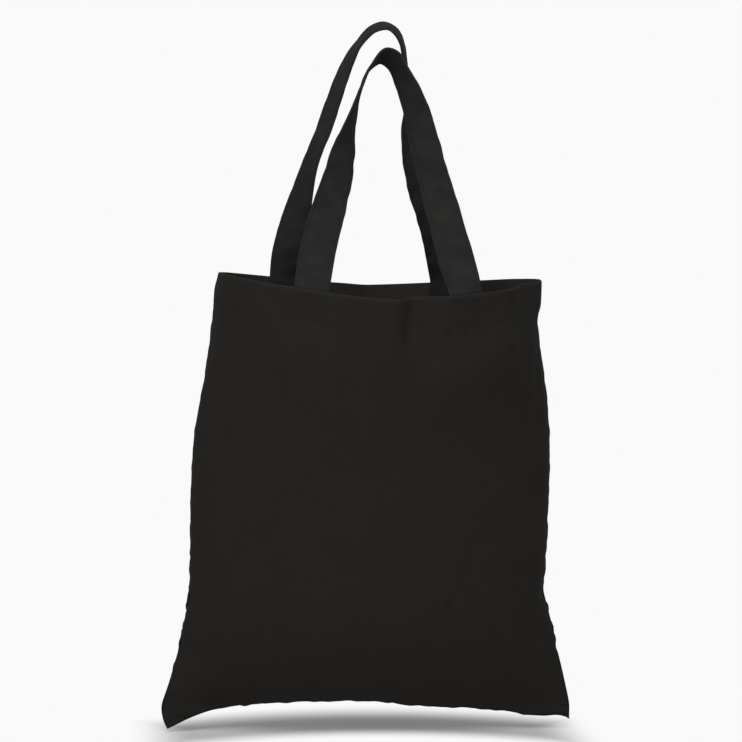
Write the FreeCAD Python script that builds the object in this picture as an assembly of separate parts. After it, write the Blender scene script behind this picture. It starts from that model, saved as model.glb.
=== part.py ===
import FreeCAD, Part
import math
import os
from FreeCAD import Vector

# Canvas tote bag, hanging open from its two handles. Millimetres, +Z up, mouth at the top.
# The origin is the grip: where a hook or a hand carries both handles, just under the front one's top.
# The front panel is on the -Y side and the side seams lie in the plane y = 0. Each piece is made
# above the level of the bag's two bottom corners, and moved down to hang from the grip at the end.

# Cloth
cloth_thickness = 0.9
panel_width = 381.0            # from side seam to side seam, measured round the cloth
panel_height = 413.0           # from bottom seam to lip, measured along the cloth
side_slack = 3.0               # height that the side seams lose in their curve
hem_depth = 28.0
hem_thickness = 2.5            # the panel and the two layers turned in behind it

# How the filled-out bag stands
bottom_arch = 24.0             # middle of the bottom seam, above the corners
bottom_radius = 70.0           # round of the belly where it turns into the bottom seam
lip_curve = 1.3                # 1 gives a lip with straight slopes, 2 a round one
bottom_curve = 4.0             # larger keeps the bottom seam flat until near the corners
ear_tuck = 6.5                 # how far a bottom corner is drawn in from the flat cloth
ear_root_tuck = 7.5
waist_tuck = 28.0
mouth_tuck = 43.5
ear_root_height = 30.0         # heights above the bottom corners
ear_top_height = 120.0
shoulder_below_lip = 160.0     # depths below the lip
collar_below_lip = 40.0

# Seams, turned inside and overlocked
seam_allowance = 9.0
seam_half_thickness = 0.8
seam_clearance = 0.8           # between the turned-in edge and the wall round it
seam_corner_gap = 20.0         # the side seams start this far up the cloth, above the bottom one
bottom_seam_corner_gap = 52.0  # the bottom seam ends this far from the corners, where the cloth closes in

# Handles
strap_width = 31.5
strap_thickness = 2.2
strap_end_margin = 2.0         # from a strap's cut end down to the hem's lower edge
strap_clearance = 0.15         # between a sewn end and the hem
fold_gap = 0.3                 # between a sewn end and the handle that starts above it
fold_height = 1.0              # a sewn end's top, above the lip
front_spread = 66.0            # half the distance between the legs of a handle
back_spread = 77.0
front_rise = 209.0             # top of a handle's centre line, above the lip
back_rise = 234.0
hinge_clearance = 1.6          # from the lip out to the line that a handle falls over

# Thread
thread_width = 0.8
thread_thickness = 0.4
thread_gap = 0.05
handle_thread_gap = 0.9        # the handles twist between their sections, so theirs is wider
hem_stitch_inset = 2.5         # above the hem's lower edge
box_stitch_inset = 3.0         # from a sewn strap end's own edges
handle_stitch_inset = 3.0

# A handle's line between its two sewn ends, from left to right: across (1 is the legs' spread),
# inward (1 is the bag's middle plane), rise (1 is the top) and the strap's turn about its own line,
# in degrees.
front_line = [
    (-0.93, 0.11, 0.16, -4), (-0.82, 0.24, 0.31, 12),
    (-0.71, 0.37, 0.45, 26), (-0.61, 0.48, 0.58, 45), (-0.50, 0.59, 0.71, 70),
    (-0.38, 0.71, 0.84, 88), (-0.23, 0.80, 0.94, 84), (-0.04, 0.85, 1.00, 62),
    (0.12, 0.84, 0.98, 45), (0.24, 0.77, 0.91, 36), (0.35, 0.67, 0.80, 24),
    (0.45, 0.56, 0.68, 16), (0.56, 0.44, 0.55, 12), (0.68, 0.32, 0.40, 6),
    (0.80, 0.19, 0.25, -2), (0.91, 0.09, 0.12, -9),
]
back_line = [
    (-0.98, 0.10, 0.12, 8), (-0.93, 0.22, 0.25, -20),
    (-0.87, 0.33, 0.36, -46), (-0.78, 0.44, 0.48, -57), (-0.66, 0.56, 0.60, -57),
    (-0.56, 0.65, 0.72, -58), (-0.45, 0.74, 0.83, -64), (-0.33, 0.80, 0.92, -70),
    (-0.19, 0.82, 0.98, -74), (-0.04, 0.83, 1.00, -80), (0.10, 0.82, 0.98, -94),
    (0.20, 0.78, 0.915, -104), (0.27, 0.72, 0.83, -100), (0.34, 0.63, 0.73, -82),
    (0.41, 0.52, 0.61, -62), (0.50, 0.41, 0.50, -48), (0.63, 0.29, 0.36, -34),
    (0.79, 0.16, 0.22, -16), (0.91, 0.07, 0.10, 4),
]

FRONT = -1
BACK = 1

# The cloth is upright from here on, this far up from the bottom seam.
belly_start = bottom_radius * math.pi / 2
side_rise = panel_height - side_slack
hem_start = panel_height - hem_depth
sewn_start = hem_start + strap_end_margin


def smooth_step(t):
    t = min(max(t, 0.0), 1.0)
    return t * t * (3 - 2 * t)


def side_tuck(height):
    # How far the side seam lies inside the flat panel's edge, at a height above the corners.
    shoulder = side_rise - shoulder_below_lip
    collar = side_rise - collar_below_lip
    ear = ear_root_tuck - ear_tuck
    tuck = ear_tuck + ear * smooth_step(height / ear_root_height)
    ear_part = (height - ear_root_height) / (ear_top_height - ear_root_height)
    tuck += (waist_tuck - ear_root_tuck) * smooth_step(ear_part)
    tuck += (mouth_tuck - waist_tuck) * smooth_step((height - shoulder) / (collar - shoulder))
    return tuck


def half_depth(half_width):
    # Half the bag's depth, so that half an ellipse's outline is as long as the panel is wide.
    low = 0.0
    high = panel_width / 2
    for step in range(50):
        depth = (low + high) / 2
        root = math.sqrt((3 * half_width + depth) * (half_width + 3 * depth))
        if math.pi / 2 * (3 * (half_width + depth) - root) < panel_width:
            low = depth
        else:
            high = depth
    return low


def cloth_section(s):
    # The bag's section at s millimetres up the cloth: half width, half depth, the heights at the
    # side seam and at the middle, and the share of the wall's thickness that points up.
    height = s * side_rise / panel_height
    half_width = panel_width / 2 - side_tuck(height)
    depth = half_depth(half_width)
    turn = min(s, belly_start) / bottom_radius
    middle = bottom_arch + bottom_radius * (1 - math.cos(turn)) + max(s - belly_start, 0.0)
    return half_width, depth * math.sin(turn), height, middle, math.cos(turn)


def cloth_point(angle, s, inset, face):
    # A point of the cloth: angle is -90 at the left side seam and 90 at the right one, and inset
    # is the distance inwards from the outer face.
    half_width, depth, side, middle, upward = cloth_section(s)
    across = math.sin(math.radians(angle))
    out = math.cos(math.radians(angle))
    if abs(angle) == 90:
        out = 0.0
    curve = lip_curve + (bottom_curve - lip_curve) * (1 - s / panel_height) ** 2
    height = side + (middle - side) * (1 - abs(across) ** curve)
    thickness = inset * math.sin(min(s, belly_start) / bottom_radius)
    y = max(depth - thickness, 0.0) * out
    return Vector((half_width - inset) * across, face * y, height + inset * upward)


def cloth_angle(x, s):
    return math.degrees(math.asin(x / cloth_section(s)[0]))


def angle_per_mm(angle, s):
    half_width, depth = cloth_section(s)[:2]
    along = half_width * math.cos(math.radians(angle))
    inward = depth * math.sin(math.radians(angle))
    return math.degrees(1 / math.hypot(along, inward))


def spread_values(start, end, count):
    return [start + (end - start) * i / (count - 1) for i in range(count)]


def surface_through(grid):
    surface = Part.BSplineSurface()
    surface.interpolate(grid)
    return surface


def edges_of(surface):
    u0, u1, v0, v1 = surface.bounds()
    return {
        "start": surface.uIso(u0).toShape(),
        "end": surface.uIso(u1).toShape(),
        "left": surface.vIso(v0).toShape(),
        "right": surface.vIso(v1).toShape(),
    }


def line_between(edge_a, edge_b, at_start):
    a = edge_a.valueAt(edge_a.FirstParameter if at_start else edge_a.LastParameter)
    b = edge_b.valueAt(edge_b.FirstParameter if at_start else edge_b.LastParameter)
    return Part.makeLine(a, b)


def solid_from(faces):
    shape = Part.makeCompound(faces)
    shape.sewShape()
    solid = Part.makeSolid(shape.Shells[0])
    if solid.Volume < 0:
        solid.reverse()
    return solid


def slab(grid_a, grid_b):
    # A closed solid between two matching grids of points.
    surface_a = surface_through(grid_a)
    surface_b = surface_through(grid_b)
    edges_a = edges_of(surface_a)
    edges_b = edges_of(surface_b)
    faces = [surface_a.toShape(), surface_b.toShape()]
    for name in edges_a:
        faces.append(Part.makeRuledSurface(edges_a[name], edges_b[name]))
    return solid_from(faces)


def panel(face):
    # One side of the bag: a wall of cloth, thicker where its hem is turned in at the lip. Its edge
    # all round the side and bottom seams lies in the plane y = 0, against the other panel's.
    angles = spread_values(-90, 90, 19)
    low_rows = spread_values(0, belly_start, 8) + spread_values(belly_start, hem_start, 12)[1:]
    hem_rows = spread_values(hem_start, panel_height, 4)

    def grid(rows, inset):
        return [[cloth_point(angle, s, inset, face) for angle in angles] for s in rows]

    outer = surface_through(grid(low_rows + hem_rows[1:], 0.0))
    inner = surface_through(grid(low_rows, cloth_thickness))
    hem = surface_through(grid(hem_rows, hem_thickness))
    outer_edges = edges_of(outer)
    inner_edges = edges_of(inner)
    hem_edges = edges_of(hem)
    seam_edges = [outer_edges["start"], inner_edges["start"]]
    for name, at_start in (("left", True), ("right", False)):
        seam_edges += [outer_edges[name], inner_edges[name], hem_edges[name]]
        seam_edges.append(line_between(outer_edges["end"], hem_edges["end"], at_start))
        seam_edges.append(line_between(inner_edges["end"], hem_edges["start"], at_start))
    seam_wire = Part.Wire(Part.__sortEdges__(seam_edges))
    return solid_from([
        outer.toShape(),
        inner.toShape(),
        hem.toShape(),
        Part.makeRuledSurface(outer_edges["end"], hem_edges["end"]),
        Part.makeRuledSurface(inner_edges["end"], hem_edges["start"]),
        Part.Face(seam_wire),
    ])


def upright_strip(near, far):
    # A flat strip in the plane y = 0, between two rows of points.
    grids = []
    for y in (-seam_half_thickness, seam_half_thickness):
        rows = []
        for a, b in zip(near, far):
            rows.append([Vector(p.x, y, p.z) for p in (a, (a + b) / 2, b)])
        grids.append(rows)
    return slab(*grids)


def side_seam(side):
    # The turned-in edges of both panels, overlocked together, inside a side seam.
    near_inset = cloth_thickness + seam_clearance
    near = []
    far = []
    for s in spread_values(seam_corner_gap, hem_start - seam_clearance, 16):
        near.append(cloth_point(side * 90, s, near_inset, FRONT))
        far.append(near[-1] - Vector(side * seam_allowance, 0, 0))
    return upright_strip(near, far)


def bottom_seam():
    near = []
    far = []
    end_angle = cloth_angle(cloth_section(0)[0] - bottom_seam_corner_gap, 0)
    for angle in spread_values(-end_angle, end_angle, 19):
        near.append(cloth_point(angle, 0, cloth_thickness + seam_clearance, FRONT))
        far.append(near[-1] + Vector(0, 0, seam_allowance))
    return upright_strip(near, far)


def cloth_strip(face, angle_a, s_a, angle_b, s_b, width, near, far, count):
    # A strip on the cloth from one place to another, between two distances in from its face.
    step_angle = angle_per_mm((angle_a + angle_b) / 2, (s_a + s_b) / 2)
    length = math.hypot((angle_b - angle_a) / step_angle, s_b - s_a)
    side_angle = (s_b - s_a) / length * step_angle
    side_s = -(angle_b - angle_a) / step_angle / length
    grids = []
    for inset in (near, far):
        rows = []
        for t in spread_values(0, 1, count):
            angle = angle_a + (angle_b - angle_a) * t
            s = s_a + (s_b - s_a) * t
            rows.append([
                cloth_point(angle + side_angle * w, s + side_s * w, inset, face)
                for w in (-width / 2, 0, width / 2)
            ])
        grids.append(rows)
    return slab(*grids)


def thread_on_cloth(face, angle_a, s_a, angle_b, s_b, count):
    near = -thread_gap
    far = -thread_gap - thread_thickness
    return cloth_strip(face, angle_a, s_a, angle_b, s_b, thread_width, near, far, count)


def hem_stitching(face):
    s = hem_start + hem_stitch_inset
    end_angle = 90 - 2 * angle_per_mm(85, s)
    return thread_on_cloth(face, -end_angle, s, end_angle, s, 25)


def sewn_end(face, x):
    # The end of a strap, flat against the inside of the hem.
    high = panel_height + fold_height
    angle = cloth_angle(x, panel_height)
    near = hem_thickness + strap_clearance
    far = near + strap_thickness
    return cloth_strip(face, angle, sewn_start, angle, high, strap_width, near, far, 5)


def sewn_ends(face, spread):
    return Part.makeCompound([sewn_end(face, -spread), sewn_end(face, spread)])


def box_stitching(face, x):
    # A box with a cross in it, through the hem and the strap end behind it.
    middle_angle = cloth_angle(x, panel_height)
    per_mm = angle_per_mm(middle_angle, panel_height)
    half_width = (strap_width / 2 - box_stitch_inset) * per_mm
    low = sewn_start + box_stitch_inset
    high = panel_height - box_stitch_inset
    left = middle_angle - half_width
    right = middle_angle + half_width
    middle_s = (low + high) / 2
    room = thread_width
    room_angle = room * per_mm
    threads = [
        thread_on_cloth(face, left + room_angle, low, right - room_angle, low, 5),
        thread_on_cloth(face, left + room_angle, high, right - room_angle, high, 5),
        thread_on_cloth(face, left, low, left, high, 5),
        thread_on_cloth(face, right, low, right, high, 5),
    ]
    # The four arms of the cross stop short of the corners and of each other.
    for end_angle, angle_sign in ((left, 1), (right, -1)):
        for end_s, s_sign in ((low, 1), (high, -1)):
            threads.append(thread_on_cloth(
                face,
                end_angle + 2 * room_angle * angle_sign, end_s + 2 * room * s_sign,
                middle_angle - room_angle * angle_sign, middle_s - room * s_sign,
                4,
            ))
    return Part.makeCompound(threads)


def root_frame(face, x):
    # A handle's first or last section, lying level with the top of its sewn end.
    angle = cloth_angle(x, panel_height)
    inset = hem_thickness + strap_clearance + strap_thickness / 2
    middle = cloth_point(angle, panel_height, inset, face)
    width = cloth_point(angle + 1, panel_height, inset, face) - middle
    width.normalize()
    if x > 0:
        width = width * -1
    along = Vector(0, 0, 1 if x < 0 else -1)
    outward = along.cross(width).normalize() * face
    return middle + Vector(0, 0, fold_height + fold_gap), width, outward


def handle_frames(face, line, spread, rise):
    # Along a handle: its middle point, the direction across the strap and its outward normal.
    first = root_frame(face, -spread)
    last = root_frame(face, spread)
    base = first[0]
    points = [base]
    for across, inward, up, turn in line:
        points.append(Vector(across * spread, base.y * (1 - inward), base.z + up * rise))
    points.append(last[0])
    frames = [first]
    for i, (across, inward, up, turn) in enumerate(line, start=1):
        along = (points[i + 1] - points[i - 1]).normalize()
        flat = Vector(0, 1, 0).cross(along).normalize()
        depth = along.cross(flat)
        turn = math.radians(turn)
        width = flat * math.cos(turn) + depth * math.sin(turn)
        frames.append((points[i], width, along.cross(width) * face))
    return frames + [last]


def strip_on_frames(frames, middle, width, low, high):
    grids = []
    for height in (low, high):
        rows = []
        for point, across, outward in frames:
            rows.append([
                point + across * w + outward * height
                for w in (middle - width / 2, middle, middle + width / 2)
            ])
        grids.append(rows)
    return slab(*grids)


def handle(frames):
    half = strap_thickness / 2
    return strip_on_frames(frames, 0, strap_width, -half, half)


def handle_stitching(frames):
    # A line of thread along each edge of the strap, on its outer face.
    low = strap_thickness / 2 + handle_thread_gap
    high = low + thread_thickness
    middle = strap_width / 2 - handle_stitch_inset
    return Part.makeCompound([
        strip_on_frames(frames, -middle, thread_width, low, high),
        strip_on_frames(frames, middle, thread_width, low, high),
    ])


def hinge_line(face, spread):
    # Where a handle falls over the lip: just outside the part of the lip that it crosses.
    angle = cloth_angle(spread, panel_height)
    inner = angle - strap_width / 2 * angle_per_mm(angle, panel_height)
    outermost = cloth_point(inner, panel_height, -hinge_clearance, face)
    middle = cloth_point(angle, panel_height, 0, face)
    return outermost.y, middle.z - grip_height


front_frames = handle_frames(FRONT, front_line, front_spread, front_rise)
back_frames = handle_frames(BACK, back_line, back_spread, back_rise)
front_top = max(point.z for point, width, outward in front_frames)
grip_height = front_top - strap_width / 2

pieces = {
    "front_panel": panel(FRONT),
    "back_panel": panel(BACK),
    "left_side_seam": side_seam(-1),
    "right_side_seam": side_seam(1),
    "bottom_seam": bottom_seam(),
    "front_hem_stitching": hem_stitching(FRONT),
    "back_hem_stitching": hem_stitching(BACK),
    "front_handle_sewn_ends": sewn_ends(FRONT, front_spread),
    "back_handle_sewn_ends": sewn_ends(BACK, back_spread),
    "front_left_box_stitching": box_stitching(FRONT, -front_spread),
    "front_right_box_stitching": box_stitching(FRONT, front_spread),
    "back_left_box_stitching": box_stitching(BACK, -back_spread),
    "back_right_box_stitching": box_stitching(BACK, back_spread),
    "front_handle": handle(front_frames),
    "front_handle_stitching": handle_stitching(front_frames),
    "back_handle": handle(back_frames),
    "back_handle_stitching": handle_stitching(back_frames),
}

os.makedirs("parts", exist_ok=True)
for node, shape in pieces.items():
    shape.translate(Vector(0, 0, -grip_height))
    shape.exportStep("parts/" + node + ".step")
    box = shape.BoundBox
    print(node, len(shape.Solids), "solids, valid", shape.isValid(), "volume", round(shape.Volume, 1),
          "x %.1f %.1f y %.1f %.1f z %.1f %.1f" % (box.XMin, box.XMax, box.YMin, box.YMax, box.ZMin, box.ZMax))
print("grip above the bottom corners %.2f" % grip_height)
print("front hinge line y %.2f z %.2f" % hinge_line(FRONT, front_spread))
print("back hinge line y %.2f z %.2f" % hinge_line(BACK, back_spread))
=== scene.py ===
import math

import bpy
import numpy as np
from mathutils import Matrix, Vector


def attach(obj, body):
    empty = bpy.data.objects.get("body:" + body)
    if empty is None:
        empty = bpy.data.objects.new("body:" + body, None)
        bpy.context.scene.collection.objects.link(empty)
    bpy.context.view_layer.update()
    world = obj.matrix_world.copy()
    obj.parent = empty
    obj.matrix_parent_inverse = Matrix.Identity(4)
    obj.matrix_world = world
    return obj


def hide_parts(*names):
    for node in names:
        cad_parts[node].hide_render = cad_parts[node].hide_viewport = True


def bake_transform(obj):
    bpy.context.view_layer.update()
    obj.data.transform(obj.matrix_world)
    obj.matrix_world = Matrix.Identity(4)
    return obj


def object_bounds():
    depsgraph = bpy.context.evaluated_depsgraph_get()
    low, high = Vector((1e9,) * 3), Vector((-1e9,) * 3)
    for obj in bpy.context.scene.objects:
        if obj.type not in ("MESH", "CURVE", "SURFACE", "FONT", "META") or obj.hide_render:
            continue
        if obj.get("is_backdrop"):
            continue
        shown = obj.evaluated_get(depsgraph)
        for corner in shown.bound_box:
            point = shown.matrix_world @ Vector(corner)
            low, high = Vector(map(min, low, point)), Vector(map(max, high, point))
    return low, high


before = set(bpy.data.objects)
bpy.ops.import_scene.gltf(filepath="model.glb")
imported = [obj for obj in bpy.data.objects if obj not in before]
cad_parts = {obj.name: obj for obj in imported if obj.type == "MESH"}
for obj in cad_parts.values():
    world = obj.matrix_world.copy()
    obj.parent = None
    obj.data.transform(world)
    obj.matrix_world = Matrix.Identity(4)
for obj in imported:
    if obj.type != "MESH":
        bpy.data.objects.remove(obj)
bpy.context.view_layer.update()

scene = bpy.context.scene
scene.view_settings.view_transform = "Standard"

front = -1  # the front panel faces -Y
back = 1


# The camera stands before the front panel, a little to its left and turned to the right.
cameraPlace = {
    "place": (-0.2777, -1.8925, -0.1128),
    "heading": 8.18,  # degrees to the right of +Y
    "pitch": -3.56,
    "roll": 1.66,
    "lens": 103.4,
    "shiftX": 0.0,
    "shiftY": -0.06,
}


def makeCamera():
    camera = bpy.data.objects.new("camera", bpy.data.cameras.new("camera"))
    scene.collection.objects.link(camera)
    turn = Matrix.Rotation(math.radians(-cameraPlace["heading"]), 4, "Z")
    tilt = Matrix.Rotation(math.radians(90 + cameraPlace["pitch"]), 4, "X")
    roll = Matrix.Rotation(math.radians(cameraPlace["roll"]), 4, "Z")
    camera.matrix_world = Matrix.Translation(cameraPlace["place"]) @ turn @ tilt @ roll
    camera.data.lens = cameraPlace["lens"]
    camera.data.shift_x = cameraPlace["shiftX"]
    camera.data.shift_y = cameraPlace["shiftY"]
    scene.camera = camera


makeCamera()


# The bag: two flat panels sewn together along three sides, then pushed apart.
bag = {
    "panelWidth": 0.381,
    "panelHeight": 0.413,
    "sideRise": 0.410,  # height of the lip at the side seams above the corners
    "cornerLevel": -0.59617,
    "bottomArch": 0.0242,  # middle of the bottom seam above the corners
    "bottomRadius": 0.070,
    "lipCurve": 1.3,
    "bottomCurve": 4.0,
    "waistTuck": 0.028,
    "mouthTuck": 0.0435,
    "clothThickness": 0.0009,
    "hemDepth": 0.028,
    "hemThickness": 0.0026,
    "seamAllowance": 0.009,
    "columns": 76,  # squares of the simulated cloth across a panel
    "rows": 82,
    "bottomDip": 0.0056,  # the bottom seam right of its middle, and its right corner
    "cornerPush": 0.0065,
    "lipSag": 0.0042,  # the front lip between the handles
}
# A side seam's line: its ear, then swells and steps as (height, width, size).
sides = {
    -1: {"tuck": 0.0045, "start": 0.022, "fade": 0.130, "turnedUnder": 0.0060, "straight": None,
         "swells": [(0.205, 0.050, -0.0013), (0.352, 0.030, -0.0020)],
         "steps": [(0.395, 0.015, 0.0030)]},
    1: {"tuck": 0.0008, "start": 0.014, "fade": 0.112, "turnedUnder": 0.0, "straight": 0.85,
        "swells": [(0.142, 0.022, 0.0017), (0.318, 0.034, -0.0026), (0.371, 0.010, 0.0012)],
        "steps": [(0.380, 0.006, -0.0022)]},
}
panelWidth = bag["panelWidth"]
panelHeight = bag["panelHeight"]
hemStart = panelHeight - bag["hemDepth"]


def smoothStep(t):
    t = np.clip(t, 0.0, 1.0)
    return t * t * (3 - 2 * t)


def bump(d, width):
    return np.exp(-(d / width) ** 2)


def sideTuck(height, side):
    # How far a side seam lies inside the flat panel's edge: out at the ears, in at the mouth.
    line = sides[side]
    waist = bag["waistTuck"]
    share = np.clip((height - line["start"]) / line["fade"], 0, 1)
    if line["straight"] is None:
        rising = 1 - (1 - share) ** 1.9
    else:
        rising = line["straight"] * share + (1 - line["straight"]) * smoothStep(share)
    tuck = line["tuck"] + (waist - line["tuck"]) * rising
    tuck += line["turnedUnder"] * np.clip(1 - height / line["start"], 0, 1) ** 2.2
    for place, width, size in line["swells"]:
        tuck += size * bump(height - place, width)
    for place, width, size in line["steps"]:
        tuck += size * smoothStep((height - place) / width)
    rise = bag["sideRise"]
    return tuck + (bag["mouthTuck"] - waist) * smoothStep((height - rise + 0.160) / 0.120)


def heightChange(face, across, s):
    # The bottom seam hangs lower right of its middle, where the corner is pushed up, and the
    # front lip sags between the handles.
    low = 1 - smoothStep(s / 0.095)
    right = np.clip(across, 0, 1)
    dip = smoothStep((right + 0.05) / 0.40) * (1 - smoothStep((right - 0.86) / 0.14))
    change = low * (bag["cornerPush"] * smoothStep((right - 0.76) / 0.20) - bag["bottomDip"] * dip)
    if face == front:
        change = change - bag["lipSag"] * smoothStep((s - 0.26) / 0.15) * (1 - np.abs(across) ** 1.7)
    return change


def ellipseHalf(halfWidth, depth):
    root = math.sqrt((3 * halfWidth + depth) * (halfWidth + 3 * depth))
    return math.pi / 2 * (3 * (halfWidth + depth) - root)


def halfDepth(halfWidth):
    low = 0.0
    high = panelWidth / 2
    for halving in range(40):
        depth = (low + high) / 2
        if ellipseHalf(halfWidth, depth) < panelWidth:
            low = depth
        else:
            high = depth
    return low


def pillowGrid(face):
    # Where a panel should lie: rows up the bag, columns from the left seam to the right.
    columns = bag["columns"]
    rows = bag["rows"]
    radius = bag["bottomRadius"]
    grid = np.zeros((rows + 1, columns + 1, 3))
    theta = np.linspace(-math.pi / 2, math.pi / 2, 361)
    share = np.linspace(0, 1, columns + 1)
    for j in range(rows + 1):
        s = panelHeight * j / rows
        height = s * bag["sideRise"] / panelHeight
        left = panelWidth / 2 - float(sideTuck(height, -1))
        right = panelWidth / 2 - float(sideTuck(height, 1))
        depth = halfDepth((left + right) / 2)
        turn = min(s / radius, math.pi / 2)
        y = depth * math.sin(turn)
        middle = bag["bottomArch"] + radius * (1 - math.cos(turn)) + max(s - radius * math.pi / 2, 0)
        x = (left + right) / 2 * np.sin(theta)
        run = np.concatenate([[0], np.cumsum(np.hypot(np.diff(x), np.diff(y * np.cos(theta))))])
        angle = np.interp(share, run / run[-1], theta)
        across = np.sin(angle)
        curve = bag["lipCurve"] + (bag["bottomCurve"] - bag["lipCurve"]) * (1 - s / panelHeight) ** 2
        grid[j, :, 0] = np.where(across < 0, left, right) * across
        grid[j, :, 1] = face * y * np.cos(angle)
        grid[j, :, 2] = height + (middle - height) * (1 - np.abs(across) ** curve)
        grid[j, :, 2] += heightChange(face, across, s)
    grid[:, 0, 1] = 0
    grid[:, -1, 1] = 0
    grid[0, :, 1] = 0
    grid[:, :, 2] += bag["cornerLevel"]
    return grid


# The cloth while it settles; the weights say how firmly it is held to the open bag's shape.
drape = {
    "frames": 26,
    "bodyWeight": 0.15,
    "edgeWeight": 0.5,  # along the seams and in the rows next to the lip
    "lipRows": 5,
    "gravity": 0.3,
    "settings": {
        "quality": 8,
        "mass": 0.25,
        "tension_stiffness": 30,
        "compression_stiffness": 30,
        "shear_stiffness": 10,
        "bending_stiffness": 1.0,
        "pin_stiffness": 1.0,
        "air_damping": 2,
    },
}


def drapedGrids():
    # Lets cloth cut flat settle towards the open bag's shape, so that it buckles along its seams.
    columns = bag["columns"]
    rows = bag["rows"]
    grids = {front: pillowGrid(front), back: pillowGrid(back)}
    flatPlaces = []
    openPlaces = []
    index = {}
    quads = []

    def cornerOf(face, i, j):
        shared = i in (0, columns) or j == 0
        key = (0 if shared else face, i, j)
        if key not in index:
            index[key] = len(flatPlaces)
            flatPlaces.append((panelWidth * (i / columns - 0.5), 0.0005 * key[0], panelHeight * j / rows))
            openPlaces.append(grids[face][j, i])
        return index[key]

    for face in (front, back):
        for j in range(rows):
            for i in range(columns):
                quad = [cornerOf(face, i, j), cornerOf(face, i + 1, j),
                        cornerOf(face, i + 1, j + 1), cornerOf(face, i, j + 1)]
                quads.append(quad if face == front else quad[::-1])
    mesh = bpy.data.meshes.new("cutCloth")
    mesh.from_pydata(flatPlaces, [], quads)
    cloth = bpy.data.objects.new("cutCloth", mesh)
    scene.collection.objects.link(cloth)
    cloth.shape_key_add(name="Basis")
    opened = cloth.shape_key_add(name="opened")
    opened.data.foreach_set("co", np.array(openPlaces).ravel())
    opened.value = 1.0
    held = cloth.vertex_groups.new(name="held")
    for (face, i, j), k in index.items():
        edge = face == 0 or j >= rows - drape["lipRows"]
        held.add([k], drape["edgeWeight"] if edge else drape["bodyWeight"], "REPLACE")
    modifier = cloth.modifiers.new("cloth", "CLOTH")
    settings = modifier.settings
    for key, value in drape["settings"].items():
        setattr(settings, key, value)
    settings.vertex_group_mass = "held"
    settings.rest_shape_key = cloth.data.shape_keys.key_blocks["Basis"]
    settings.effector_weights.gravity = drape["gravity"]
    modifier.collision_settings.use_collision = False
    modifier.collision_settings.use_self_collision = False
    modifier.point_cache.frame_start = 1
    modifier.point_cache.frame_end = drape["frames"] + 1
    for frameNumber in range(1, drape["frames"] + 1):
        scene.frame_set(frameNumber)
    settled = cloth.evaluated_get(bpy.context.evaluated_depsgraph_get())
    places = np.zeros(len(flatPlaces) * 3)
    settled.data.vertices.foreach_get("co", places)
    places = places.reshape(-1, 3)
    for face in (front, back):
        for j in range(rows + 1):
            for i in range(columns + 1):
                grids[face][j, i] = places[cornerOf(face, i, j)]
    bpy.data.objects.remove(cloth)
    scene.frame_set(1)
    return grids


clothGrids = drapedGrids()
print("cloth settled")


def paddedGrid(grid):
    # Two more rows and columns all round, straight on from the edges.
    grid = np.concatenate([2 * grid[:1] - grid[1:2], grid, 2 * grid[-1:] - grid[-2:-1]], axis=0)
    return np.concatenate([2 * grid[:, :1] - grid[:, 1:2], grid, 2 * grid[:, -1:] - grid[:, -2:-1]], axis=1)


smoothGrids = {face: paddedGrid(clothGrids[face]) for face in (front, back)}


def splineShares(t):
    return np.stack([(1 - t) ** 3, 3 * t ** 3 - 6 * t ** 2 + 4,
                     -3 * t ** 3 + 3 * t ** 2 + 3 * t + 1, t ** 3], -1) / 6


def splineSlopes(t):
    return np.stack([-(1 - t) ** 2, 3 * t ** 2 - 4 * t, -3 * t ** 2 + 2 * t + 1, t ** 2], -1) / 2


def clothSurface(face, u, v):
    # A place on a panel's outer side, its outward normal and the direction across the cloth. u
    # runs across from the panel's middle and v up from the bottom seam, in metres of cloth.
    grid = smoothGrids[face]
    columns = bag["columns"]
    rows = bag["rows"]
    u, v = np.broadcast_arrays(np.asarray(u, float), np.asarray(v, float))
    a = (u / panelWidth + 0.5) * columns
    b = v / panelHeight * rows
    over = np.maximum(b - rows, 0)
    b = np.clip(b, 0, rows)
    a = np.clip(a, 0, columns)
    i = np.minimum(a.astype(int), columns - 1)
    j = np.minimum(b.astype(int), rows - 1)
    aShare, bShare = splineShares(a - i), splineShares(b - j)
    aSlope, bSlope = splineSlopes(a - i), splineSlopes(b - j)
    place = np.zeros(u.shape + (3,))
    alongU = np.zeros_like(place)
    alongV = np.zeros_like(place)
    for m in range(4):
        for n in range(4):
            knot = grid[j + m, i + n]
            place += (bShare[..., m] * aShare[..., n])[..., None] * knot
            alongU += (bShare[..., m] * aSlope[..., n])[..., None] * knot
            alongV += (bSlope[..., m] * aShare[..., n])[..., None] * knot
    place += alongV * over[..., None]
    normal = np.cross(alongU, alongV) * (1 if face == front else -1)
    normal /= np.maximum(np.linalg.norm(normal, axis=-1, keepdims=True), 1e-12)
    return place, normal, alongU


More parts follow.
